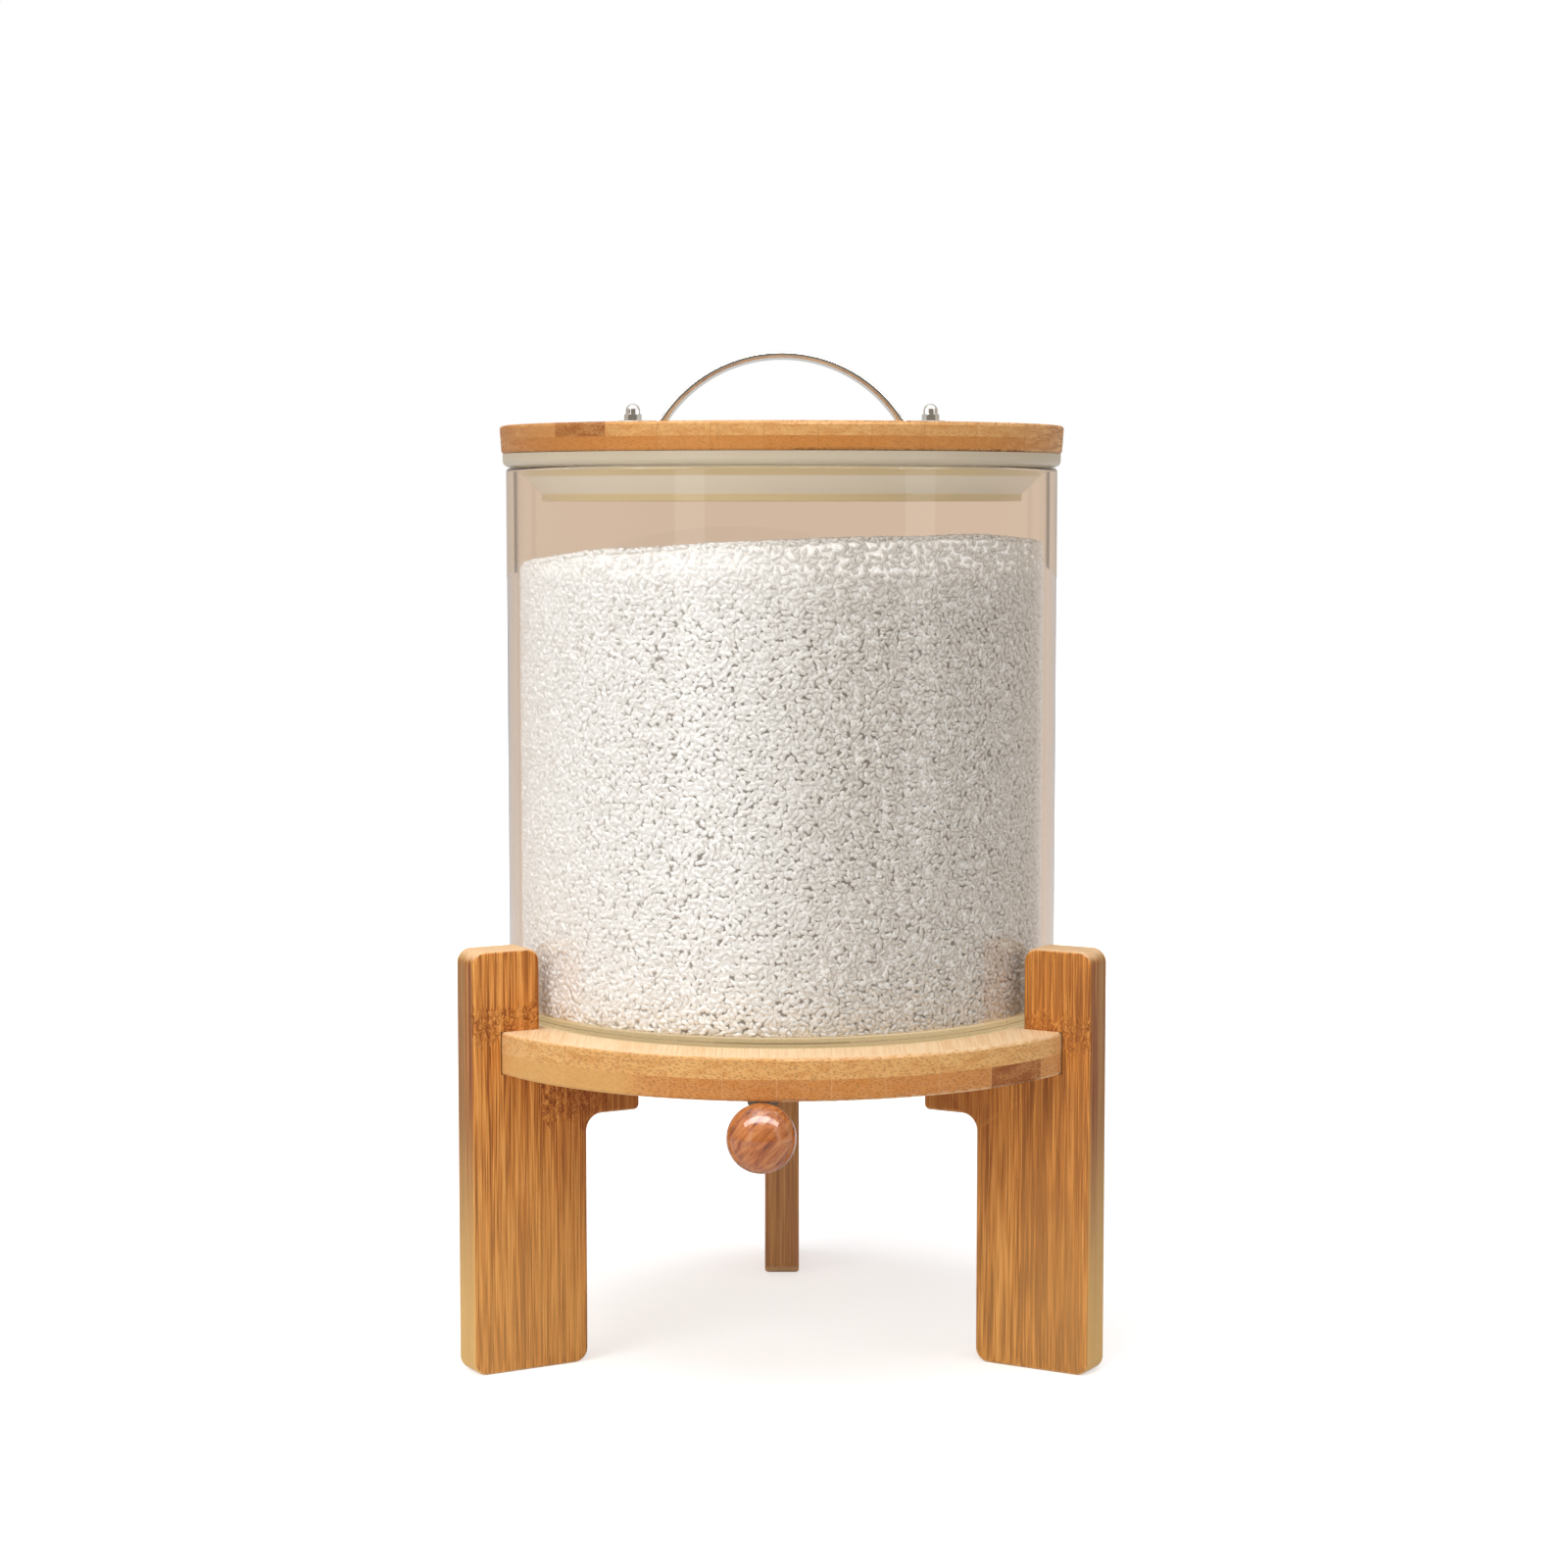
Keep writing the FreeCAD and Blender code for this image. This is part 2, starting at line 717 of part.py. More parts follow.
def handle_washers():
    """The washers under the lid."""
    hole = handle_screw_radius + screw_hole_gap
    washer = ring(hole, washer_radius, lid_underside - washer_thickness, lid_underside)
    return at_places(washer, handle_screw_places)


def handle_cap_nuts():
    """Domed nuts with a blind thread on the strap's feet."""
    top = strap_top + cap_nut_height
    hex_top = strap_top + cap_nut_hex_height
    corner = cap_nut_flats / math.sqrt(3)
    bevelled = turned([
        (0, strap_top, 0),
        (corner, strap_top, 0),
        (corner, hex_top - cap_nut_bevel, 0),
        (corner - cap_nut_bevel, hex_top, 0),
        (0, hex_top, 0),
    ])
    base = hexagon(cap_nut_flats, strap_top, hex_top).common(bevelled)
    dome = rod(cap_nut_dome_radius, strap_top, top - cap_nut_dome_radius)
    dome = dome.fuse(Part.makeSphere(cap_nut_dome_radius, V(0, 0, top - cap_nut_dome_radius)))
    nut = base.fuse(dome).removeSplitter()
    thread = rod(handle_screw_radius + thread_gap, strap_top, strap_top + cap_nut_thread_depth)
    return at_places(nut.cut(thread), handle_screw_places)


pieces = [
    glass_jar, rice_fill, outlet_bush, bush_gasket, bush_nut, base_plate, leg_screws, leg_inserts,
    valve_body, gate_seal, valve_cover, valve_screws, slide_gate, pull_rod, rod_nut, ball_knob,
    knob_insert, lid_board, lid_seal, seal_retainer, retainer_screws, lid_handle, handle_screws,
    handle_washers, handle_cap_nuts,
]
shapes = {piece.__name__: piece() for piece in pieces}
for i, name in enumerate(leg_names):
    shapes[name] = leg(leg_back_angle + 360 * i / len(leg_names))

os.makedirs("parts", exist_ok=True)
for name, shape in shapes.items():
    shape.exportStep(f"parts/{name}.step")
    print(f"{name}: {len(shape.Solids)} solids, valid {shape.isValid()}, {shape.Volume / 1000:.2f} cm3")
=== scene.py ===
import bpy
import math
import numpy as np
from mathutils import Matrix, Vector


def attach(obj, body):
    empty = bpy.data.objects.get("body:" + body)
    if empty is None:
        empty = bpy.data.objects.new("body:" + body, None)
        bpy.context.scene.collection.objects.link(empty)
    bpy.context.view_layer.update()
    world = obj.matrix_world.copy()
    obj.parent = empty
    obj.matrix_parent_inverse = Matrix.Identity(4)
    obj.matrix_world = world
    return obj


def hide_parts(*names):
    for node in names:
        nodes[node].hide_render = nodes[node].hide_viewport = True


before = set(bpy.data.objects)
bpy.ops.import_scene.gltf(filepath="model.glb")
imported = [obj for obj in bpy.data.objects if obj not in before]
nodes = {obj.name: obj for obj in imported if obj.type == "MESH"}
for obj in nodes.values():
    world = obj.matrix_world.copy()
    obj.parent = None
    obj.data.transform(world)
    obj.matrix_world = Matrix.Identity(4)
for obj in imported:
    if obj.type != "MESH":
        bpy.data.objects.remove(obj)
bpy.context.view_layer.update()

# Camera
# A long lens in front of the dispenser, a little above the jar's middle, that looks down
# on it by five degrees.
camera_data = bpy.data.cameras.new("camera")
camera_data.lens = 75.35
camera_data.sensor_width = 36.0
camera = bpy.data.objects.new("camera", camera_data)
camera.location = (0.00082, -1.2, 0.30745)
camera.rotation_euler = (math.radians(90.0 - 4.97), 0.0, 0.0)
bpy.context.collection.objects.link(camera)
bpy.context.scene.camera = camera
bpy.context.scene.view_settings.view_transform = "Standard"


# Studio
# A white sweep under an even, soft light: a large softbox at the left, a weaker one at the
# right and one overhead, with three lamps' shapes for gloss to show. Seen through glass the
# sweep is a warm beige.
class Wire:
    """A node's output that takes Python's arithmetic: each operation adds its Math node."""

    def __init__(self, shading, socket):
        self.shading = shading
        self.socket = socket

    def math(self, operation, first, second=0.0):
        return self.shading.node("ShaderNodeMath", {"operation": operation}, {0: first, 1: second})

    def __add__(self, other):
        return self.math("ADD", self, other)

    def __sub__(self, other):
        return self.math("SUBTRACT", self, other)

    def __rsub__(self, other):
        return self.math("SUBTRACT", other, self)

    def __mul__(self, other):
        return self.math("MULTIPLY", self, other)

    def __truediv__(self, other):
        return self.math("DIVIDE", self, other)

    def __abs__(self):
        return self.math("ABSOLUTE", self)

    def __floor__(self):
        return self.math("FLOOR", self)

    __radd__ = __add__
    __rmul__ = __mul__


class Shading:
    """The nodes of a material or world, and the short ways of adding more."""

    def __init__(self, owner, **fixed):
        owner.use_nodes = True
        self.owner = owner
        self.tree = owner.node_tree
        self.shader = next(n for n in self.tree.nodes if n.type in ("BSDF_PRINCIPLED", "BACKGROUND"))
        for name, value in fixed.items():
            self.shader.inputs[name.replace("_", " ")].default_value = value

    def node(self, kind, settings=None, sockets=None, output=0):
        """A new node with its settings and its sockets' values or links; returns one output."""
        made = self.tree.nodes.new(kind)
        for name, value in (settings or {}).items():
            if name == "stops":
                elements = made.color_ramp.elements
                elements.remove(elements[1])
                elements[0].position = value[0][0]
                elements[0].color = value[0][1]
                for position, colour in value[1:]:
                    elements.new(position).color = colour
            else:
                setattr(made, name, value)
        for name, value in (sockets or {}).items():
            self.put(made.inputs[name], value)
        return Wire(self, made.outputs[output])

    def put(self, socket, value):
        if isinstance(value, Wire):
            self.tree.links.new(value.socket, socket)
        else:
            socket.default_value = value

    def vary(self, name, value):
        """Feeds one of the shader's sockets."""
        self.put(self.shader.inputs[name], value)

    def colour(self):
        """The base colour as it stands, for more to be mixed over it."""
        return Wire(self, self.shader.inputs["Base Color"].links[0].from_socket)

    def glow(self, where, colour):
        """A light of the surface's own, nought to one by where."""
        self.vary("Emission Color", self.mix(where, (0.0, 0.0, 0.0, 1.0), colour))
        self.shader.inputs["Emission Strength"].default_value = 1.0

    def take_over(self, factor, other):
        """Mixes another shader over this one before the material's output."""
        self.put(self.tree.nodes["Material Output"].inputs["Surface"], self.node(
            "ShaderNodeMixShader", sockets={0: factor, 1: Wire(self, self.shader.outputs[0]), 2: other}))

    def mix(self, factor, first, second, blend="MIX"):
        return self.node("ShaderNodeMix", {"data_type": "RGBA", "blend_type": blend},
                         {0: factor, 6: first, 7: second}, 2)

    def fade(self, value, low, high):
        """Nought at low to one at high, with soft ends."""
        return self.node("ShaderNodeMapRange", {"interpolation_type": "SMOOTHSTEP"},
                         {"Value": value, "From Min": low, "From Max": high})

    def ramp(self, value, stops):
        return self.node("ShaderNodeValToRGB", {"stops": stops}, {0: value})

    def ray(self, name):
        """What the Light Path node knows of the ray that asks."""
        return self.node("ShaderNodeLightPath", output=name)

    def place(self):
        """Object coordinates in millimetres."""
        return self.node("ShaderNodeVectorMath", {"operation": "SCALE"},
                         {0: self.node("ShaderNodeTexCoord", output="Object"), "Scale": 1000.0})

    def along(self, vector, axis):
        return self.node("ShaderNodeVectorMath", {"operation": "DOT_PRODUCT"}, {0: vector, 1: axis}, 1)

    def length(self, vector):
        return self.node("ShaderNodeVectorMath", {"operation": "LENGTH"}, {0: vector}, 1)

    def height(self):
        """Height over the table in millimetres."""
        return self.along(self.place(), (0.0, 0.0, 1.0))

    def vector(self, x, y, z):
        return self.node("ShaderNodeCombineXYZ", sockets={0: x, 1: y, 2: z})

    def noise(self, vector, scale, detail=2.0, roughness=0.5):
        return self.node("ShaderNodeTexNoise", sockets={
            "Vector": vector, "Scale": scale, "Detail": detail, "Roughness": roughness})

    def bump(self, height, depth, strength=1.0):
        self.vary("Normal", self.node("ShaderNodeBump", sockets={
            "Height": height, "Distance": depth, "Strength": strength}))


def paint(red, green, blue):
    """A colour as a screen shows it, 0 to 255, in Blender's linear values."""
    return tuple((v / 255.0) ** 2.2 for v in (red, green, blue)) + (1.0,)


def softbox(name, place, aim, width, height, radiance, gloss=True, lights=True):
    """A soft rectangular lamp of an even radiance, turned to the point that it lights."""
    lamp = bpy.data.lights.new(name, "AREA")
    lamp.shape = "RECTANGLE"
    lamp.size = width
    lamp.size_y = height
    lamp.energy = radiance * math.pi * width * height
    shown = bpy.data.objects.new(name, lamp)
    shown.location = place
    shown.rotation_euler = (Vector(aim) - Vector(place)).to_track_quat("-Z", "Y").to_euler()
    shown.visible_glossy = gloss
    shown.visible_diffuse = lights
    shown.visible_camera = False
    shown.visible_transmission = False
    bpy.context.collection.objects.link(shown)


lamp_aim = (0.0, 0.0, 0.2)
softbox("key", (-1.15, -1.45, 1.0), lamp_aim, 1.2, 1.2, 2.8, gloss=False)
softbox("fill", (1.5, -1.3, 0.8), lamp_aim, 1.0, 1.2, 0.5, gloss=False)
softbox("overhead", (-0.15, -0.35, 1.6), lamp_aim, 1.4, 1.1, 3.2)
softbox("left_strip", (-1.15, -1.55, 0.5), lamp_aim, 0.42, 1.9, 1.1)
softbox("right_strip", (1.45, -0.95, 0.5), lamp_aim, 0.42, 1.9, 1.0)
softbox("crescent", (0.0, -0.45, 1.5), lamp_aim, 3.4, 0.6, 7.5, lights=False)

beige = paint(212, 185, 161)
world = bpy.data.worlds.new("studio")
bpy.context.scene.world = world
room = Shading(world)
sky_way = room.node("ShaderNodeTexCoord", output="Generated")
toward_camera = room.along(sky_way, (0.0, 1.0, 0.0))
gloss_room = room.mix(room.fade(toward_camera, -0.2, -0.75),
                      (0.6, 0.54, 0.47, 1.0), (0.27, 0.24, 0.2, 1.0))
upward = room.along(sky_way, (0.0, 0.0, 1.0))
gloss_room = room.mix(room.fade(upward, 0.25, 0.95), gloss_room, (0.88, 0.87, 0.85, 1.0))
light_room = room.mix(room.ray("Is Glossy Ray"), (0.42, 0.42, 0.43, 1.0), gloss_room)
seen_room = room.mix(room.ray("Is Camera Ray"), light_room, (1.0, 1.0, 1.0, 1.0))


def through_glass(shading):
    """One for a ray that came through glass, and nought for any other."""
    depth = shading.ray("Transmission Depth")
    return depth.math("GREATER_THAN", depth, 0.5) * (1.0 - shading.ray("Is Diffuse Ray"))


dark_card = paint(104, 90, 74)
sideways = abs(room.along(sky_way, (1.0, 0.0, 0.0)))
card = room.fade(sideways, 0.435, 0.475) * (1.0 - room.fade(sideways, 0.5, 0.56))
card = card * room.fade(toward_camera, 0.3, 0.5) * (1.0 - room.fade(abs(upward), 0.02, 0.035))
room.vary("Color", room.mix(through_glass(room), seen_room, room.mix(card, beige, dark_card)))

floor_half = 11.5
floor_corners = [(-floor_half, -floor_half, 0), (floor_half, -floor_half, 0),
                 (floor_half, floor_half, 0), (-floor_half, floor_half, 0)]
floor_mesh = bpy.data.meshes.new("floor")
floor_mesh.from_pydata(floor_corners, [], [(0, 1, 2, 3)])
floor = bpy.data.objects.new("floor", floor_mesh)
bpy.context.collection.objects.link(floor)
sweep = Shading(bpy.data.materials.new("sweep"), Roughness=0.9, Specular_IOR_Level=0.1)
grit = sweep.noise(sweep.place(), 0.05, 3.0)
sweep.vary("Base Color", sweep.mix(grit, paint(222, 222, 222), paint(230, 230, 230)))
far_off = sweep.fade(sweep.length(sweep.place()), 300.0, 1100.0)
whitening = 0.54 * sweep.ray("Is Camera Ray")
whitening = whitening + far_off * (0.5 * sweep.ray("Is Camera Ray") + 0.28 * sweep.ray("Is Glossy Ray"))
sweep.glow(whitening, (1.0, 1.0, 1.0, 1.0))
sweep.take_over(through_glass(sweep), sweep.node("ShaderNodeEmission", sockets={"Color": beige}))
floor_mesh.materials.append(sweep.owner)


# Base plate
# Round bamboo board under the jar: two layers of flat strips glued with the grain from front
# to back, turned, sanded and oiled. Its rim shows the ends of the fibres as fine dots, and
# one strip of the lower layer is dark.
plate_strip = 18.3
plate_layer = 7.5
plate_edges = (71.6, 121.5)
knot_spacing = 150.0
knot_wander = 13.0
no_strip = (99, 0)


def finish(name, **fixed):
    """A new material, with the values of its sockets that are the same all over."""
    return Shading(bpy.data.materials.new(name), **fixed)


def dress(node_name, shading):
    """Gives a node's object one material in all its slots."""
    for slot in nodes[node_name].material_slots:
        slot.material = shading.owner


def bamboo(name, grain, across, strip, layer, start, shades, edge_shades, knots, seed, dotted,
           dark_strip=no_strip):
    """Bamboo strips laid side by side and in layers, with their fibres, tints and knots.

    grain and across are directions, strip and layer a strip's width and thickness, start the
    edges that they are counted from, shades the light, middle and dark colours, edge_shades the
    colours of the strips' sides and of their sawn ends, and knots the height of the knots along
    the grain and its step from each strip to the next. dotted is how plain the fibres' ends are.
    One dark_strip may be given by its count and its layer's.
    """
    wood = finish(name, Specular_IOR_Level=0.28)
    through = Vector(across).cross(Vector(grain))
    place = wood.place()
    length_at = wood.along(place, grain)
    width_at = wood.along(place, across)
    depth_at = wood.along(place, through)
    layer_count = math.floor((depth_at - start[1]) / layer)
    shifted = width_at - start[0]
    strip_count = math.floor(shifted / strip)
    lot = wood.vector(strip_count, layer_count, seed)
    tint = wood.node("ShaderNodeTexWhiteNoise", sockets={"Vector": lot})
    second_tint = wood.node("ShaderNodeTexWhiteNoise", sockets={
        "Vector": wood.vector(layer_count, strip_count, seed + 3.7)})

    wander = wood.noise(wood.vector(width_at * 0.5, tint * 40.0, depth_at * 0.5), 1.0, 2.0)
    first_knot = length_at - knots[0] - strip_count * knots[1] + (wander - 0.5) * knot_wander
    knot_from = length_at.math("PINGPONG", first_knot, knot_spacing)
    near_knot = 1.0 - wood.fade(knot_from, 2.5, 8.0)
    curl = wood.noise(wood.vector(width_at * 0.42, depth_at * 0.42, length_at * 0.36), 1.0, 3.0)
    bend = (curl - 0.5) * near_knot * 7.0

    side = width_at + bend + tint * 31.0
    deep = depth_at + bend
    broad = wood.noise(wood.vector(side * 0.42, deep * 0.42, length_at * 0.009), 1.0, 3.0, 0.6)
    fine = wood.noise(wood.vector(side * 1.9, deep * 1.9, length_at * 0.035), 1.0, 2.0)
    fibre = wood.node("ShaderNodeTexVoronoi", {"feature": "F1"}, {
        "Vector": wood.vector(side * 0.85, deep * 0.85, length_at * 0.03), "Scale": 1.0})
    dots = 1.0 - wood.fade(fibre, 0.14, 0.42)

    light, middle_shade, dark = shades
    side_shade, end_light, end_dark = edge_shades
    tone = broad * 0.44 + fine * 0.56 + (tint - 0.5) * 0.1
    colour = wood.ramp(tone, [(0.4, light), (0.49, middle_shade), (0.57, dark)])
    colour = wood.mix(second_tint * 0.3, colour, light)
    normal = wood.node("ShaderNodeNewGeometry", output="Normal")
    on_side = wood.fade(abs(wood.along(normal, across)), 0.5, 0.95)
    end_grain = wood.fade(abs(wood.along(normal, grain)), 0.2, 0.8)
    streak = wood.noise(wood.vector(width_at * 0.3, depth_at * 0.95, length_at * 0.014), 1.0, 3.0, 0.6)
    side_colour = wood.mix(wood.fade(streak, 0.4, 0.62), side_shade, dark)
    side_colour = wood.mix(wood.fade(streak, 0.46, 0.3), side_colour, light)
    colour = wood.mix(on_side * 0.62, colour, side_colour)
    glue = wood.fade(abs((depth_at - start[1]) / layer - layer_count - 0.5), 0.47, 0.5)
    colour = wood.mix(glue * on_side * 0.4, colour, dark)
    under_layer = wood.fade(layer_count, -1.0, -2.0)
    end_colour = wood.mix(second_tint * 0.2 + under_layer * 0.75, end_light, end_dark)
    colour = wood.mix(end_grain * 0.9, colour, end_colour)
    colour = wood.mix(dots * (1.0 - end_grain) * 0.3, colour, dark)
    burnt = tuple(v * share for v, share in zip(end_dark, (0.42, 0.28, 0.16, 1.0)))
    blotch = wood.noise(wood.vector(width_at * 0.16, depth_at * 0.42, tint * 9.0), 1.0, 4.0, 0.6)
    colour = wood.mix(wood.fade(blotch, 0.42, 0.66) * end_grain * 0.45, colour, end_dark)
    ends = wood.node("ShaderNodeTexVoronoi", {"feature": "F1"}, {
        "Vector": wood.vector(side * 0.8 + depth_at * 0.7, deep * 1.45, length_at * 0.03), "Scale": 1.0})
    ends = 1.0 - wood.fade(ends + (blotch - 0.5) * 0.35, 0.16, 0.55)
    colour = wood.mix(ends * end_grain * dotted, colour, burnt)
    dark_cell = (1.0 - wood.fade(abs(strip_count - dark_strip[0]), 0.4, 0.6)) * (
        1.0 - wood.fade(abs(layer_count - dark_strip[1]), 0.4, 0.6))
    colour = wood.mix(dark_cell * (0.4 + wood.fade(blotch + fine, 0.8, 1.15) * 0.5), colour, burnt)
    flecks = wood.noise(wood.vector(side * 0.8, deep * 0.8, length_at * 0.45), 1.0, 2.0)
    flecks = wood.fade(flecks, 0.5, 0.66)
    colour = wood.mix(near_knot * (0.12 + flecks * 0.62) * (1.0 - end_grain), colour, dark)
    joint = wood.fade(abs(shifted / strip - strip_count - 0.5), 0.486, 0.5)
    colour = wood.mix(joint * 0.4, colour, dark)
    wood.vary("Base Color", colour)
    wood.vary("Roughness", 0.5 + (fine - 0.5) * 0.16 + dots * 0.06)
    wood.bump(fine * 0.5 + dots * -0.4 + broad * 0.6, 0.00018, 0.5)
    return wood


plate_shades = (paint(245, 214, 172), paint(241, 205, 159), paint(228, 183, 130))
plate_sides = (paint(214, 160, 100), paint(226, 172, 102), paint(196, 120, 50))
plate_wood = bamboo("plate_bamboo", (0.0, 1.0, 0.0), (1.0, 0.0, 0.0), plate_strip, plate_layer,
                    plate_edges, plate_shades, plate_sides, (40.0, 83.0), 4.0, 0.46, (0, -2))
plate_level = plate_wood.height()
plate_sideways = plate_wood.along(plate_wood.place(), (1.0, 0.0, 0.0))
plate_reach = plate_wood.length(plate_wood.vector(
    plate_sideways, plate_wood.along(plate_wood.place(), (0.0, 1.0, 0.0)), 0.0))
# Painted light: a glow on the plate under the glass foot, over a darker colour there, shows through the
# foot as a pale ochre band.
painted_glow_under_jar = 1.0 - plate_wood.fade(plate_reach, 98.4, 99.4)
painted_glow_under_jar = painted_glow_under_jar * plate_wood.fade(plate_level, 121.3, 121.45)
plate_wood.glow(painted_glow_under_jar, paint(168, 150, 114))
pale_left = plate_wood.fade(plate_sideways, -44.0, -58.0)
pale_left = pale_left * plate_wood.fade(plate_level, 114.2, 113.8)
plate_colour = plate_wood.mix(pale_left * 0.55, plate_wood.colour(), paint(224, 178, 108))
plate_wood.vary("Base Color", plate_wood.mix(painted_glow_under_jar * 0.85, plate_colour, paint(122, 104, 74)))
dress("base_plate", plate_wood)

# Legs
# Three bamboo boards on edge, their flat strips upright in two layers, notched for the plate
# and rounded at every edge. Each has knots at its own heights and its own light and dark strips.
# The front ones get painted shade where the plate shades them, and painted bounce light makes them paler
# toward the table.
leg_shades = (paint(234, 164, 86), paint(200, 120, 47), paint(122, 57, 16))
# The legs' sawn ends are a pale cream: their own end colour, made paler for a painted sheen on the rounded
# top ends.
leg_sides = (paint(206, 152, 84), paint(240, 200, 152), paint(222, 176, 124))
# The back leg's shades are darker and greyer: painted shade, as it stands in the shadow behind the front
# legs.
painted_shade_back_leg_shades = (paint(216, 160, 118), paint(200, 142, 102), paint(160, 108, 72))
leg_strip_width = 26.0
leg_layer = 6.75
leg_outer_edge = 102.0
leg_marks = {
    "leg_front_left": {"heading": -150.0, "knots": (124.0, 29.0), "seed": 12.0},
    "leg_front_right": {"heading": -30.0, "knots": (121.0, -100.0), "seed": 29.0},
    "leg_back": {"heading": 90.0, "knots": (200.0, 70.0), "seed": 51.0}}
for leg, marks in leg_marks.items():
    heading = math.radians(marks["heading"])
    outward = (math.cos(heading), math.sin(heading), 0.0)
    shades = painted_shade_back_leg_shades if leg == "leg_back" else leg_shades
    leg_wood = bamboo(leg + "_bamboo", (0.0, 0.0, 1.0), outward, leg_strip_width, leg_layer,
                      (leg_outer_edge, 0.0), shades, leg_sides, marks["knots"], marks["seed"], 0.15)
    dress(leg, leg_wood)
    if leg == "leg_back":
        continue
    level = leg_wood.height()
    facing = leg_wood.along(leg_wood.node("ShaderNodeNewGeometry", output="Normal"), outward)
    narrow_side = leg_wood.fade(abs(facing), 0.5, 0.95)
    right_or_left = math.copysign(1.0, outward[0])
    rearward = (-right_or_left * outward[1], right_or_left * outward[0], 0.0)
    rear_layer = leg_wood.fade(leg_wood.along(leg_wood.place(), rearward), -0.3, 0.3)
    # Painted shade on the front legs' inner halves under the plate, and painted bounce light toward the
    # table.
    inner_half = leg_wood.fade(leg_wood.along(leg_wood.place(), outward), 98.0, 84.0)
    shaded = inner_half * leg_wood.fade(level, 10.0, 100.0)
    painted_table_bounce = leg_wood.fade(level, 105.0, 5.0)
    leg_colour = leg_wood.mix(shaded * (1.0 - narrow_side) * 0.4, leg_wood.colour(), paint(118, 52, 16))
    leg_colour = leg_wood.mix(narrow_side * rear_layer * 0.45, leg_colour, paint(170, 132, 82))
    leg_colour = leg_wood.mix(painted_table_bounce * (0.2 + narrow_side * 0.5), leg_colour, paint(240, 196, 122))
    leg_wood.vary("Base Color", leg_colour)


# Screws and inserts
# Pan head steel screws through the legs' arms, the valve, the stopper's ring and the handle's
# feet, with turned brass inserts in the wood. All are bought in and left as they come.
def metal(name, colour, roughness, streaks):
    """Bare metal, a little cloudy, with fine marks all over."""
    made = finish(name, Metallic=1.0, Roughness=roughness)
    place = made.place()
    mark = made.noise(place, streaks, 3.0)
    cloud = made.noise(place, 0.12, 2.0)
    made.vary("Base Color", made.mix(cloud, colour, tuple(v * 0.86 for v in colour[:3]) + (1.0,)))
    made.vary("Roughness", roughness + (mark - 0.5) * roughness * 0.7)
    made.bump(mark, 0.00002, 0.4)
    return made


plain_steel = metal("plain_steel", (0.46, 0.45, 0.43, 1.0), 0.34, 2.2)
brass = metal("brass", (0.78, 0.57, 0.26, 1.0), 0.28, 2.6)
for name in ("leg_screws", "valve_screws", "retainer_screws", "handle_screws", "handle_washers"):
    dress(name, plain_steel)
for name in ("leg_inserts", "knob_insert"):
    dress(name, brass)

# Valve and outlet
# Moulded off-white plastic: the bush through the jar's floor with its ring nut, the guide
# under the plate and its cover with the spout. Silicone rings seal the bush and the gate.
moulded = finish("moulded_plastic", Subsurface_Weight=0.06, Subsurface_Scale=0.004)
moulded_place = moulded.place()
pebble = moulded.noise(moulded_place, 1.6, 3.0)
haze = moulded.noise(moulded_place, 0.03, 2.0)
moulded.vary("Base Color", moulded.mix(haze, paint(232, 229, 220), paint(222, 218, 207)))
moulded.vary("Roughness", 0.42 + (pebble - 0.5) * 0.2)
moulded.bump(pebble, 0.00005, 0.5)
for name in ("outlet_bush", "bush_nut", "valve_body", "valve_cover", "seal_retainer"):
    dress(name, moulded)

silicone = finish("silicone", Subsurface_Weight=0.25, Subsurface_Scale=0.003)
silicone_place = silicone.place()
silicone_dust = silicone.noise(silicone_place, 0.9, 3.0)
silicone.vary("Base Color", silicone.mix(silicone_dust, paint(221, 221, 214), paint(206, 207, 200)))
silicone.vary("Roughness", 0.5 + (silicone_dust - 0.5) * 0.3)
silicone.bump(silicone_dust, 0.00003, 0.4)
for name in ("bush_gasket", "gate_seal"):
    dress(name, silicone)

# Gate and rod
# Folded steel sheet that slides under the passage, dull as it comes from the rolls, with the
# rod that pulls it and the nut that holds the rod to its lip.
gate_steel = metal("brushed_steel", (0.17, 0.13, 0.1, 1.0), 0.42, 1.4)
for name in ("slide_gate", "pull_rod", "rod_nut"):
    dress(name, gate_steel)

# Ball knob
# Turned hardwood ball of a reddish brown, varnished to a high gloss. Its grain runs on a slant
# from the upper right to the lower left.
ball_wood = finish("varnished_ball", Specular_IOR_Level=0.1,
                   Coat_Weight=1.0, Coat_Roughness=0.09, Coat_IOR=1.55)
ball_place = ball_wood.place()
ball_across = ball_wood.along(ball_place, (0.74, -0.2, -0.64))
ball_along = ball_wood.along(ball_place, (0.64, 0.3, 0.70))
ball_deep = ball_wood.along(ball_place, (0.2, 0.93, -0.3))
ball_grain = ball_wood.noise(
    ball_wood.vector(ball_across * 0.55, ball_deep * 0.3, ball_along * 0.06), 1.0, 4.0, 0.62)
ball_pores = ball_wood.noise(
    ball_wood.vector(ball_across * 2.6, ball_deep * 2.0, ball_along * 0.2), 1.0, 2.0)
ball_tone = ball_wood.ramp(ball_grain, [
    (0.3, paint(206, 136, 82)), (0.5, paint(190, 112, 58)),
    (0.6, paint(160, 84, 40)), (0.68, paint(110, 54, 26))])
ball_rings = ball_wood.noise(
    ball_wood.vector(ball_across * 0.16, ball_deep * 0.09, ball_along * 0.035), 1.0, 1.0)
ball_rings = ball_rings * 9.0 + ball_grain
ball_lines = 1.0 - ball_wood.fade(abs(ball_rings - math.floor(ball_rings) - 0.5), 0.04, 0.2)
ball_colour = ball_wood.mix(ball_wood.fade(ball_pores, 0.56, 0.7) * 0.35, ball_tone, paint(128, 66, 34))
ball_wood.vary("Base Color", ball_wood.mix(ball_lines * 0.32, ball_colour, paint(126, 62, 32)))
ball_wood.vary("Roughness", 0.3 + ball_pores * 0.1)
dress("ball_knob", ball_wood)

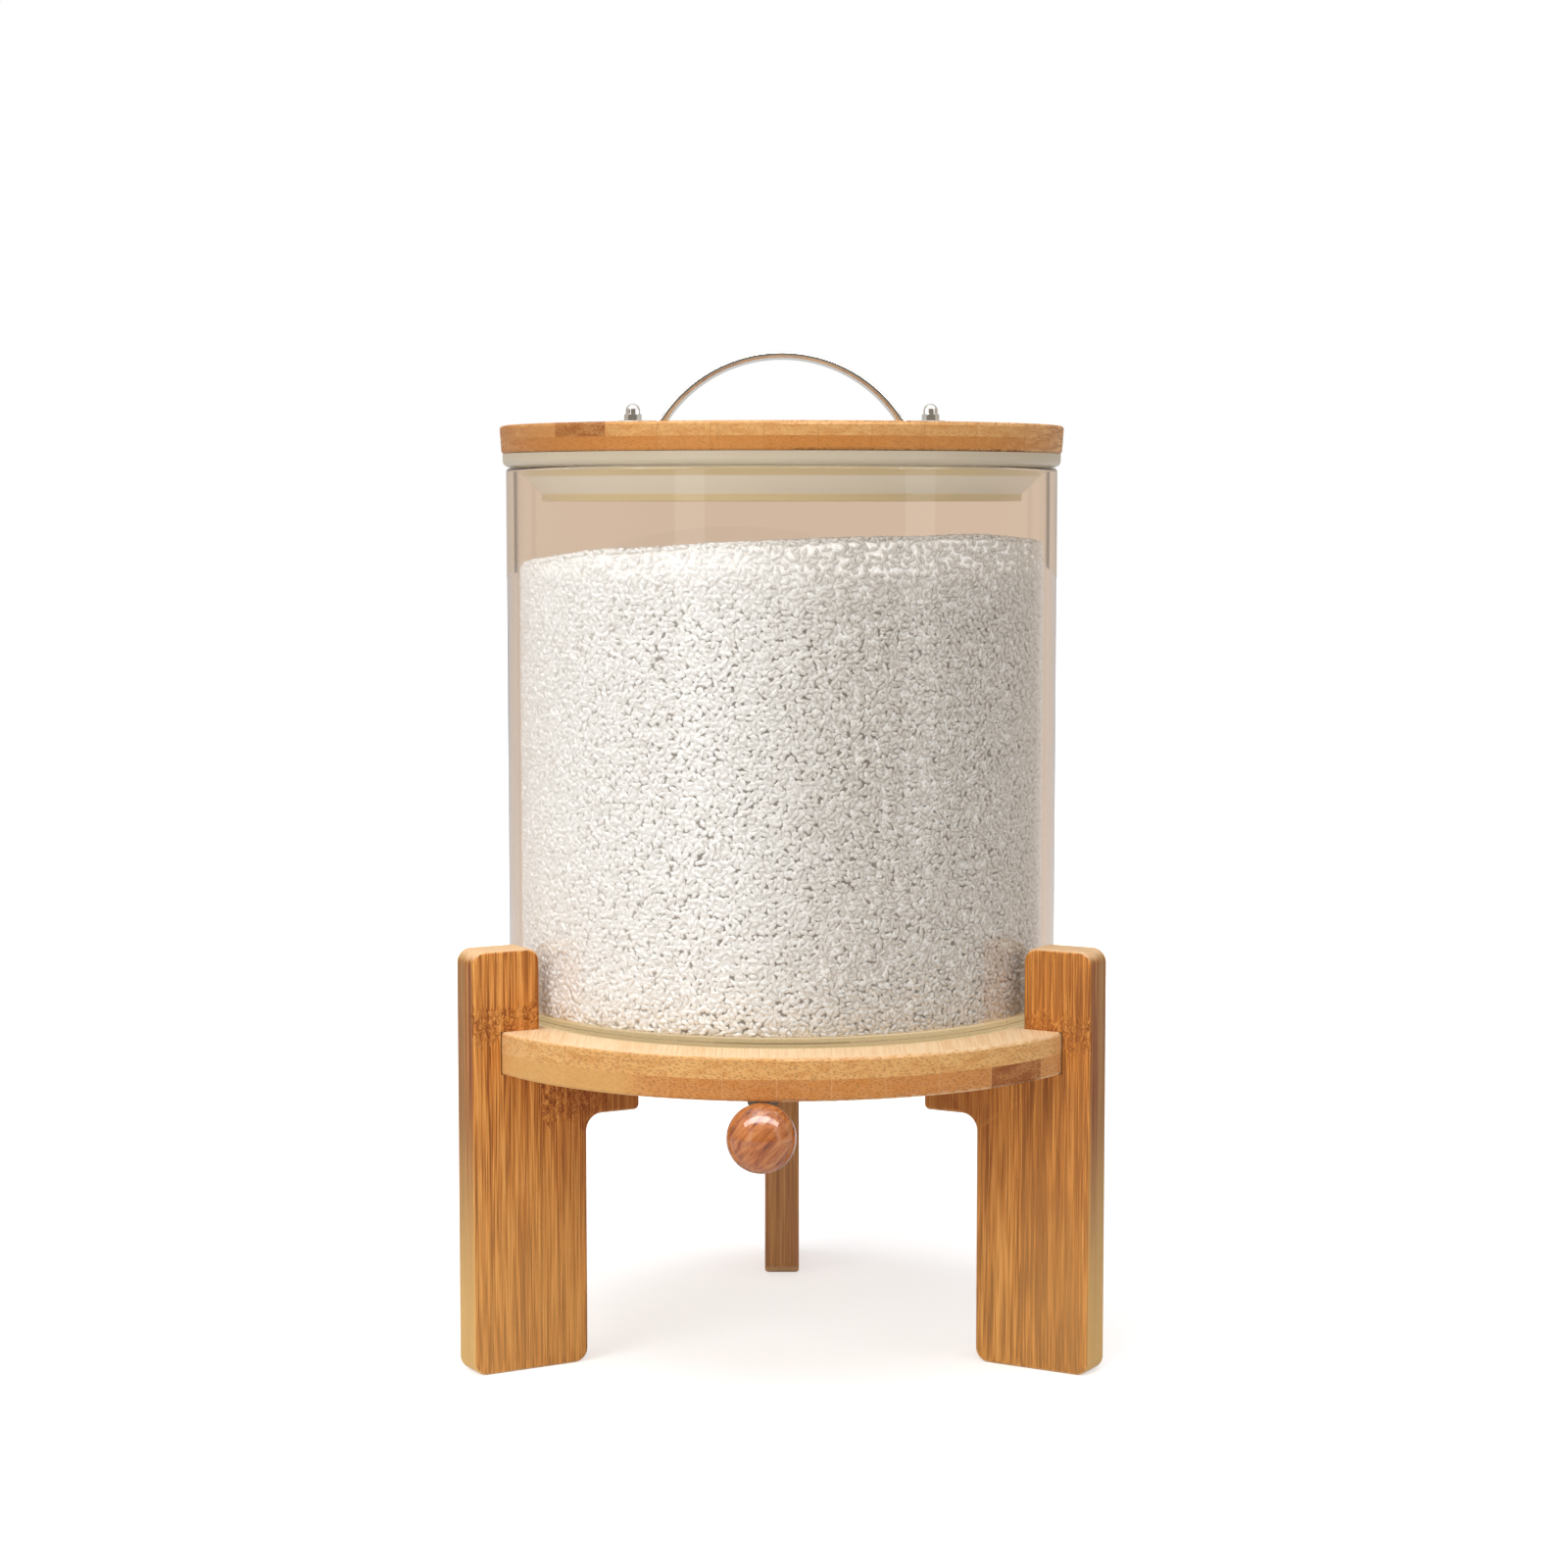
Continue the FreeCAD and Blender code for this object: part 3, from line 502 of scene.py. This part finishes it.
# Glass jar
# Clear pressed glass, turned here round its axis: a flat foot on the plate, a floor that is
# thicker round the bush's hole, and a fire-polished rim. Lamps light what it holds straight
# through it.
jar_outside = 0.1
jar_inside = 0.096
jar_foot = 0.1214
jar_rim = 0.3185
jar_hole = 0.026
jar_outline = [
    (jar_hole, jar_foot, 0.0005), (jar_outside, jar_foot, 0.003), (jar_outside, jar_rim, 0.0015),
    (jar_inside, jar_rim, 0.0015), (jar_inside, 0.124, 0.0022), (0.051, 0.124, 0.002),
    (0.047, 0.1275, 0.002), (jar_hole, 0.1275, 0.0005)]


def rounded(outline, turns=9):
    """Points and outward normals round a closed outline whose every corner is an arc.

    Each corner of the outline is its radius, its height and the radius of its rounding.
    """
    points = []
    normals = []
    for k, (radius, level, bend) in enumerate(outline):
        corner = np.array((radius, level))
        before = np.array(outline[k - 1][:2]) - corner
        after = np.array(outline[(k + 1) % len(outline)][:2]) - corner
        before /= np.linalg.norm(before)
        after /= np.linalg.norm(after)
        half = math.acos(np.clip(before @ after, -1.0, 1.0)) / 2.0
        middle_way = (before + after) / np.linalg.norm(before + after)
        centre = corner + middle_way * bend / math.sin(half)
        start = np.array((-before[1], before[0]))
        end = np.array((after[1], -after[0]))
        bulges = start @ middle_way < 0.0
        sweep_angle = math.acos(np.clip(start @ end, -1.0, 1.0))
        for step in range(turns + 1):
            way = (start * math.sin((1.0 - step / turns) * sweep_angle)
                   + end * math.sin(step / turns * sweep_angle)) / math.sin(sweep_angle)
            points.append(centre + way * (bend if bulges else -bend))
            normals.append(way)
    return np.array(points), np.array(normals)


def turned(name, outline, shading, steps=288):
    """A piece turned round the upright axis, with exact normals."""
    points, normals = rounded(outline)
    count = len(points)
    turn = np.arange(steps) * math.tau / steps
    spread = np.stack((np.cos(turn), np.sin(turn)), axis=1)

    def to_every_step(pairs):
        """Pairs of a reach and a height, carried round to each step of the turn."""
        reaches = spread[:, None, :] * pairs[None, :, :1]
        heights = np.tile(pairs[None, :, 1:], (steps, 1, 1))
        return np.concatenate((reaches, heights), axis=2).reshape(-1, 3).tolist()

    faces = []
    for step in range(steps):
        for k in range(count):
            here, after = step * count, (step + 1) % steps * count
            faces.append((here + k, after + k, after + (k + 1) % count, here + (k + 1) % count))
    mesh = bpy.data.meshes.new(name)
    mesh.from_pydata(to_every_step(points), [], faces)
    mesh.shade_smooth()
    mesh.normals_split_custom_set_from_vertices(to_every_step(normals))
    mesh.materials.append(shading.owner)
    made = bpy.data.objects.new(name, mesh)
    bpy.context.collection.objects.link(made)
    return made


glass = finish("jar_glass", Transmission_Weight=1.0, IOR=1.48, Roughness=0.0)
glass.shader.inputs["Base Color"].default_value = (0.997, 0.997, 0.995, 1.0)
ripple = glass.noise(glass.place(), 0.02, 1.0)
glass.bump(ripple, 0.0004, 0.12)
glass.take_over(glass.ray("Is Shadow Ray") + glass.ray("Is Diffuse Ray"), glass.node(
    "ShaderNodeBsdfTransparent", sockets={"Color": (0.995, 0.994, 0.992, 1.0)}))
jar = turned("jar_body", jar_outline, glass)
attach(jar, "stand")
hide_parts("glass_jar")

# Rice
# Polished short white rice up to about three centimetres below the rim, heaped toward the
# front right. Every grain at the glass and on top is its own small bent spindle, over a core.
rice_radius = 0.0957
rice_base = 0.1242
rice_level = 0.2879
rice_tilt = 0.0075
grain_half = np.array((0.00158, 0.0009, 0.00078))
row_pitch = 0.00196
grain_pitch = 0.00262
heap_pitch = 0.002
wall_scatter = 0.34
level_scatter = 0.36
heap_scatter = 0.0009
slump_depth = 0.0042
slump_reach = 0.0019
core_inset = 0.00115
pile_count = 6
draw = np.random.default_rng(7)


def heap(x, y):
    """Height of the rice's surface, which slumps a little where it meets the glass."""
    out = np.hypot(x, y) / rice_radius
    forward = (0.55 * x - 0.83 * y) / rice_radius
    tilt = np.maximum(forward, -0.42 + 0.12 * forward)
    swell = 0.0006 * np.sin(x * 95.0 + 1.3) * np.sin(y * 80.0 + 0.4)
    slump = slump_depth * np.exp((out - 1.0) * rice_radius / slump_reach)
    return rice_level + rice_tilt * tilt + swell - slump


def grain_pattern():
    """A grain of unit size along X, its ends blunt and its middle bowed."""
    stations = ((-0.72, 0.68), (0.0, 1.0), (0.72, 0.64))
    sides = 5
    corners = [(-1.0, -0.12, 0.0)]
    for lie, girth in stations:
        bow = 0.16 * (1.0 - lie * lie) - 0.06
        for step in range(sides):
            turn = math.tau * step / sides
            corners.append((lie, bow + girth * math.cos(turn), girth * math.sin(turn)))
    corners.append((1.0, -0.1, 0.0))
    first, second, third = [[1 + sides * k + step for step in range(sides)] for k in range(3)]
    tip = len(corners) - 1
    faces = []
    for step in range(sides):
        after = (step + 1) % sides
        faces.append((0, first[after], first[step]))
        faces.append((first[step], first[after], second[after], second[step]))
        faces.append((second[step], second[after], third[after], third[step]))
        faces.append((third[step], third[after], tip))
    return np.array(corners), faces


def place_grains():
    """Middles and outward directions of the grains at the wall and on the heap."""
    middles = []
    outward = []
    rows = int((rice_level + rice_tilt - rice_base) / row_pitch)
    for row in range(rows + 1):
        count = int(math.tau * rice_radius / grain_pitch)
        turn = np.arange(count) + 0.5 * (row % 2) + draw.uniform(-wall_scatter, wall_scatter, count)
        turn = turn * math.tau / count
        inset = 0.001 + draw.uniform(0.0, 0.0006, count)
        level = rice_base + 0.0012 + row_pitch * (row + draw.uniform(-level_scatter, level_scatter, count))
        x = (rice_radius - inset) * np.cos(turn)
        y = (rice_radius - inset) * np.sin(turn)
        kept = (level < heap(x, y) - 0.0004) & (level > rice_base + 0.0009)
        middles.append(np.column_stack((x, y, level))[kept])
        outward.append(np.column_stack((np.cos(turn), np.sin(turn), 0.0 * turn))[kept])
    lattice = np.arange(-rice_radius, rice_radius, heap_pitch)
    x, y = (side.ravel() + draw.uniform(-heap_scatter, heap_scatter, side.size)
            for side in np.meshgrid(lattice, lattice))
    kept = np.hypot(x, y) < rice_radius - 0.0021
    x, y = x[kept], y[kept]
    middles.append(np.column_stack((x, y, heap(x, y) - draw.uniform(0.0003, 0.0006, x.size))))
    outward.append(np.tile((0.0, 0.0, 1.0), (x.size, 1)))
    return np.vstack(middles), np.vstack(outward)


def set_grains(name, middles, outward, shading):
    """One mesh of many grains, each turned at random in the plane that faces outward."""
    pattern, faces = grain_pattern()
    count = len(middles)
    level = np.where(np.abs(outward[:, 2:]) > 0.5, (1.0, 0.0, 0.0), (0.0, 0.0, 1.0))
    first = np.cross(level, outward)
    first /= np.linalg.norm(first, axis=1, keepdims=True)
    second = np.cross(outward, first)
    turn = draw.normal(0.0, 0.95, (count, 1))
    lean = draw.normal(0.0, 0.16, (count, 1))
    long_way = np.cos(turn) * first + np.sin(turn) * second + lean * outward
    long_way /= np.linalg.norm(long_way, axis=1, keepdims=True)
    wide_way = np.cross(outward, long_way)
    wide_way /= np.linalg.norm(wide_way, axis=1, keepdims=True)
    thick_way = np.cross(long_way, wide_way)
    size = grain_half * draw.uniform(0.9, 1.08, (count, 3))
    flip = draw.choice((-1.0, 1.0), (count, 1, 1))
    points = (middles[:, None, :]
              + pattern[None, :, 0:1] * size[:, None, 0:1] * long_way[:, None, :] * flip
              + pattern[None, :, 1:2] * size[:, None, 1:2] * wide_way[:, None, :] * flip
              + pattern[None, :, 2:3] * size[:, None, 2:3] * thick_way[:, None, :])
    flat = points.reshape(-1, 3)
    beyond = np.hypot(flat[:, 0], flat[:, 1]) / rice_radius
    flat[:, :2] /= np.maximum(beyond, 1.0)[:, None]
    all_faces = [[k * len(pattern) + corner for corner in face]
                 for k in range(count) for face in faces]
    mesh = bpy.data.meshes.new(name)
    mesh.from_pydata(flat.tolist(), [], all_faces)
    mesh.shade_smooth()
    tones = np.repeat(draw.uniform(0.0, 1.0, count), len(pattern)).astype(np.float32)
    mesh.attributes.new("grain_tone", "FLOAT", "POINT").data.foreach_set("value", tones)
    mesh.materials.append(shading.owner)
    made = bpy.data.objects.new(name, mesh)
    bpy.context.collection.objects.link(made)
    return made


rice = finish("rice", Roughness=0.42, Specular_IOR_Level=0.45)
grain_tone = rice.node("ShaderNodeAttribute", {"attribute_name": "grain_tone"}, output="Fac")
chalk = rice.noise(rice.place(), 0.55, 2.0)
rice_colour = rice.ramp(grain_tone, [
    (0.0, paint(228, 224, 217)), (0.35, paint(243, 241, 236)), (1.0, paint(251, 250, 247))])
# Painted shade makes the rice darker at the front right, apart from the very edge, and a painted glow
# makes it brighter at the top.
painted_shade_side = rice.fade(rice.along(rice.place(), (0.8, -0.6, 0.0)), 34.0, 84.0)
pale_edge = rice.fade(rice.along(rice.place(), (1.0, 0.0, 0.0)), 87.0, 93.0)
painted_shade_side = painted_shade_side * (1.0 - pale_edge * 0.75)
rice_colour = rice.mix(chalk * 0.4, rice_colour, paint(252, 248, 243))
rice.vary("Base Color", rice.mix(painted_shade_side * 0.9, rice_colour, paint(193, 186, 175)))
rice.vary("Roughness", 0.36 + chalk * 0.14)
rice.glow(rice.fade(rice.height(), 277.0, 287.0), (0.03, 0.029, 0.028, 1.0))
grain_middles, grain_outward = place_grains()
grain_piles = []
for pile, chosen in enumerate(np.array_split(np.arange(len(grain_middles)), pile_count)):
    pile_name = "rice_grains_%d" % (pile + 1)
    grain_piles.append(set_grains(pile_name, grain_middles[chosen], grain_outward[chosen], rice))

core_rings = 40
core_steps = 192
core_points = []
for ring in range(core_rings + 1):
    rise = ring / core_rings
    for step in range(core_steps):
        turn = math.tau * step / core_steps
        reach = rice_radius - core_inset - 0.0003 * math.cos(turn + 0.5)
        up_the_wall = rise <= 0.5
        if not up_the_wall:
            reach *= 1.0 - (rise - 0.5) * 1.999
        surface = heap(reach * math.cos(turn), reach * math.sin(turn))
        if up_the_wall:
            core_level = rice_base + 0.0002 + (surface - 0.0012 - rice_base) * rise * 2.0
        else:
            core_level = surface - 0.0007
        core_points.append((reach * math.cos(turn), reach * math.sin(turn), core_level))
core_faces = []
for ring in range(core_rings):
    for step in range(core_steps):
        after = (step + 1) % core_steps
        core_faces.append((ring * core_steps + step, ring * core_steps + after,
                           (ring + 1) * core_steps + after, (ring + 1) * core_steps + step))
core_faces.append(tuple(range(core_steps - 1, -1, -1)))
core_faces.append(tuple(core_rings * core_steps + step for step in range(core_steps)))
core_mesh = bpy.data.meshes.new("rice_core")
core_mesh.from_pydata(core_points, [], core_faces)
core_mesh.shade_smooth()
rice_depths = finish("rice_depths", Roughness=0.8)
# Painted shade in the gaps between the grains, darker at the front right and lower down, and a painted
# glow near the top.
speck = rice_depths.node("ShaderNodeTexVoronoi", sockets={"Vector": rice_depths.place(), "Scale": 0.62})
painted_gap_shade = rice_depths.fade(speck, 0.55, 0.8)
shaded_side = rice_depths.fade(rice_depths.along(rice_depths.place(), (0.86, -0.5, 0.0)), -60.0, 35.0)
shaded_side = shaded_side * rice_depths.fade(rice_depths.height(), 286.0, 262.0)
painted_gap_shade_colour = rice_depths.mix(shaded_side, paint(226, 220, 211), paint(130, 122, 110))
rice_depths.vary("Base Color", rice_depths.mix(painted_gap_shade, paint(244, 241, 235), painted_gap_shade_colour))
rice_depths.glow(rice_depths.fade(rice_depths.height(), 276.0, 286.0), (0.2, 0.196, 0.19, 1.0))
rice_depths.bump(1.0 - speck, 0.0012, 0.8)
core_mesh.materials.append(rice_depths.owner)
rice_core = bpy.data.objects.new("rice_core", core_mesh)
bpy.context.collection.objects.link(rice_core)
for piece in grain_piles + [rice_core]:
    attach(piece, "stand")
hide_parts("rice_fill")

# Lid board
# Round bamboo board like the plate, but thinner: two layers of strips, grain from front to
# back. One strip at the left of its upper layer is dark, and so is the rim's left part.
lid_shades = (paint(228, 180, 122), paint(212, 154, 92), paint(160, 98, 46))
lid_sides = (paint(206, 150, 94), paint(222, 168, 104), paint(194, 122, 54))
lid_strip = 18.0
lid_layer = 5.0
lid_edges = (-59.8, 333.5)
lid_wood = bamboo("lid_bamboo", (0.0, 1.0, 0.0), (1.0, 0.0, 0.0), lid_strip, lid_layer, lid_edges,
                  lid_shades, lid_sides, (30.0, 83.0), 17.0, 0.26, (-1, -1))
lid_left = lid_wood.fade(lid_wood.along(lid_wood.place(), (1.0, 0.0, 0.0)), -46.0, -84.0)
lid_wood.vary("Base Color", lid_wood.mix(lid_left * 0.5, lid_wood.colour(), paint(172, 108, 50)))
dress("lid_board", lid_wood)

# Stopper
# Soft translucent plastic moulded in one piece: a flange on the glass rim, and a cone below
# it that closes the mouth. Six screws and a ring hold it to the lid.
stopper = finish("stopper_plastic", Transmission_Weight=0.1, IOR=1.4, Roughness=0.3)
stopper_haze = stopper.noise(stopper.place(), 0.04, 2.0)
stopper_height = stopper.height()
# Painted reflection: ochre bands of the bamboo seen in the plastic, at the cone's foot and just under the
# flange.
painted_wood_reflection = 1.0 - stopper.fade(stopper_height, 308.6, 309.6)
painted_wood_reflection = painted_wood_reflection + (1.0 - stopper.fade(abs(stopper_height - 316.7), 1.1, 1.7))
stopper_colour = stopper.mix(stopper_haze, paint(236, 221, 196), paint(231, 215, 190))
in_lid_shade = stopper.fade(stopper_height, 318.0, 318.7)
stopper_colour = stopper.mix(in_lid_shade, stopper_colour, paint(207, 191, 165))
stopper.vary("Base Color", stopper.mix(painted_wood_reflection * 0.8, stopper_colour, paint(214, 186, 128)))
stopper.vary("Roughness", 0.27 + stopper_haze * 0.06)
dress("lid_seal", stopper)

# Strap handle and its nuts
# Polished stainless strap bent to an arch, its feet flat on the lid, each held by a screw
# from below and a small polished cap nut.
polished = metal("polished_steel", (0.80, 0.78, 0.75, 1.0), 0.07, 3.0)
dress("handle_cap_nuts", polished)
lid_top = 0.3335
strap_width = 0.024
strap_thickness = 0.002
strap_edge = 0.0007
strap_rise = 0.0266
arc_radius = 0.051
bend_radius = 0.004
foot_end = 0.0595
foot_corner = 0.005
arch_steps = 48
bend_steps = 12
corner_steps = 9
edge_steps = 3
bend_level = lid_top + strap_thickness / 2.0 + bend_radius
arc_level = lid_top + strap_rise - strap_thickness / 2.0 - arc_radius
bend_x = math.sqrt((arc_radius + bend_radius) ** 2 - (bend_level - arc_level) ** 2)
bend_turn = math.atan2(bend_x, bend_level - arc_level)


def strap_stations():
    """Places along the half strap from its top to a foot's end.

    Each is its middle's x and z, its lean from upright, and the turn round the foot's corner.
    """
    stations = []
    for step in range(arch_steps + 1):
        lean = bend_turn * step / arch_steps
        stations.append((arc_radius * math.sin(lean), arc_level + arc_radius * math.cos(lean), lean, 0.0))
    for step in range(1, bend_steps + 1):
        lean = bend_turn * (1.0 - step / bend_steps)
        stations.append((bend_x - bend_radius * math.sin(lean),
                         bend_level - bend_radius * math.cos(lean), lean, 0.0))
    for step in range(corner_steps + 1):
        turn = math.pi / 2.0 * step / corner_steps
        core_x = foot_end - foot_corner + (foot_corner - strap_edge) * math.sin(turn)
        stations.append((core_x, lid_top + strap_thickness / 2.0, 0.0, turn))
    return stations


def strap_ring(station, side):
    """The rounded outline of the strap at one station, with its normals."""
    x, level, lean, turn = station
    along = np.array((side * math.cos(lean), 0.0, -math.sin(lean)))
    up = np.array((side * math.sin(lean), 0.0, math.cos(lean)))
    half_width = strap_width / 2.0 - foot_corner + (foot_corner - strap_edge) * math.cos(turn)
    to_edge = strap_thickness / 2.0 - strap_edge
    ring = []
    for edge in (1.0, -1.0):
        outward = np.array((0.0, edge * math.cos(turn), 0.0)) + math.sin(turn) * along
        rows = []
        for face in (1.0, -1.0):
            for step in range(edge_steps + 1):
                share = step / edge_steps
                tilt = math.pi / 2.0 * (share if face < 0.0 else 1.0 - share)
                normal = math.cos(tilt) * outward + face * math.sin(tilt) * up
                point = np.array((side * x, edge * half_width, level)) + face * to_edge * up
                rows.append((point + strap_edge * normal, normal))
        ring.extend(rows if edge > 0.0 else rows[::-1])
    return ring


half_stations = strap_stations()
strap_rings = [strap_ring(station, -1.0) for station in reversed(half_stations)]
strap_rings += [strap_ring(station, 1.0) for station in half_stations[1:]]
around_strap = len(strap_rings[0])
strap_faces = []
for row in range(len(strap_rings) - 1):
    for k in range(around_strap):
        here, after = row * around_strap, (row + 1) * around_strap
        beside = (k + 1) % around_strap
        strap_faces.append((here + k, after + k, after + beside, here + beside))
last = (len(strap_rings) - 1) * around_strap
for k in range(around_strap // 2 - 1):
    far = around_strap - 1 - k
    strap_faces.append((k, k + 1, far - 1, far))
    strap_faces.append((last + k, last + far, last + far - 1, last + k + 1))
strap_mesh = bpy.data.meshes.new("handle_strap")
strap_points, strap_normals = zip(*[pair for ring in strap_rings for pair in ring])
strap_mesh.from_pydata([tuple(point) for point in strap_points], [], strap_faces)
strap_mesh.shade_smooth()
strap_mesh.normals_split_custom_set_from_vertices([tuple(normal) for normal in strap_normals])
strap_mesh.materials.append(polished.owner)
strap = bpy.data.objects.new("handle_strap", strap_mesh)
bpy.context.collection.objects.link(strap)
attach(strap, "lid")
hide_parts("lid_handle")
